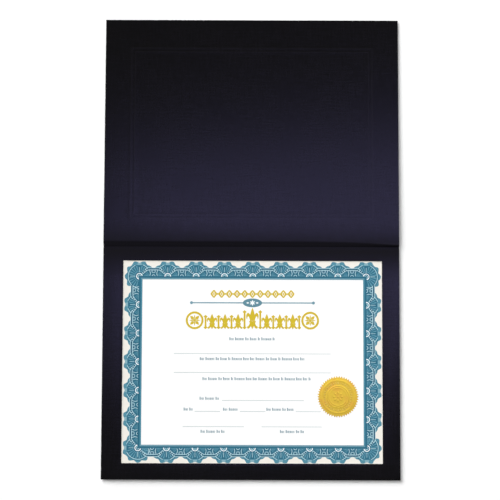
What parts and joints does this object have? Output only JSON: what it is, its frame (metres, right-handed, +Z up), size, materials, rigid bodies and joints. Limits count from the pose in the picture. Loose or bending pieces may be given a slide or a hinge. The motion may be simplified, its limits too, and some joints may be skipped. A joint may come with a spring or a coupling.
{
  "type": "document cover",
  "caption": "Top-fold document cover of dark embossed stock, lying open, with a certificate and foil seal behind the window mat of its back panel.",
  "frame": {"origin": "on the surface the cover lies on, under the crease between the back panel and the hinge band, half way across the cover, which is the bottom centre of its box", "axes": "+Z up, out of the open cover's inside; +Y towards the free edge of the front panel, along the open cover's length; +X to the right of someone who reads the certificate"},
  "size_m": [0.3174, 0.4952, 0.0025],
  "materials": {
    "cover_stock": "fine linen emboss, soft sheen",
    "adhesive": "matt black double-sided tape",
    "certificate_paper": "smooth printed certificate paper",
    "gold_foil": "metallic gold foil on adhesive paper"
  },
  "bodies": {
    "back_cover": {"back_cover_panel": "cover_stock", "window_mat": "cover_stock", "adhesive_strip_left": "adhesive", "adhesive_strip_top": "adhesive", "adhesive_strip_bottom": "adhesive"},
    "hinge_band": {"hinge_band": "cover_stock"},
    "front_cover": {"front_cover_panel": "cover_stock", "foil_border_outer": "gold_foil", "foil_border_inner": "gold_foil"},
    "certificate": {"certificate_sheet": "certificate_paper", "gold_seal": "gold_foil"}
  },
  "joints": [
    {"name": "crease_fold", "type": "hinge", "parent": "back_cover", "child": "hinge_band", "pos_m": [0, 0, 0.0005], "axis": [1, 0, 0], "range_deg": [0, 130]},
    {"name": "band_fold", "type": "hinge", "parent": "hinge_band", "child": "front_cover", "pos_m": [0, 0.00554, 0.00252], "axis": [1, 0, 0], "range_deg": [0, 50.49]},
    {"name": "certificate_slide", "type": "slide", "parent": "back_cover", "child": "certificate", "axis": [1, 0, 0], "range_m": [0, 0.3]}
  ],
  "couplings": [
    {"joint": "band_fold", "follows": "crease_fold", "ratio": 0.38829}
  ]
}
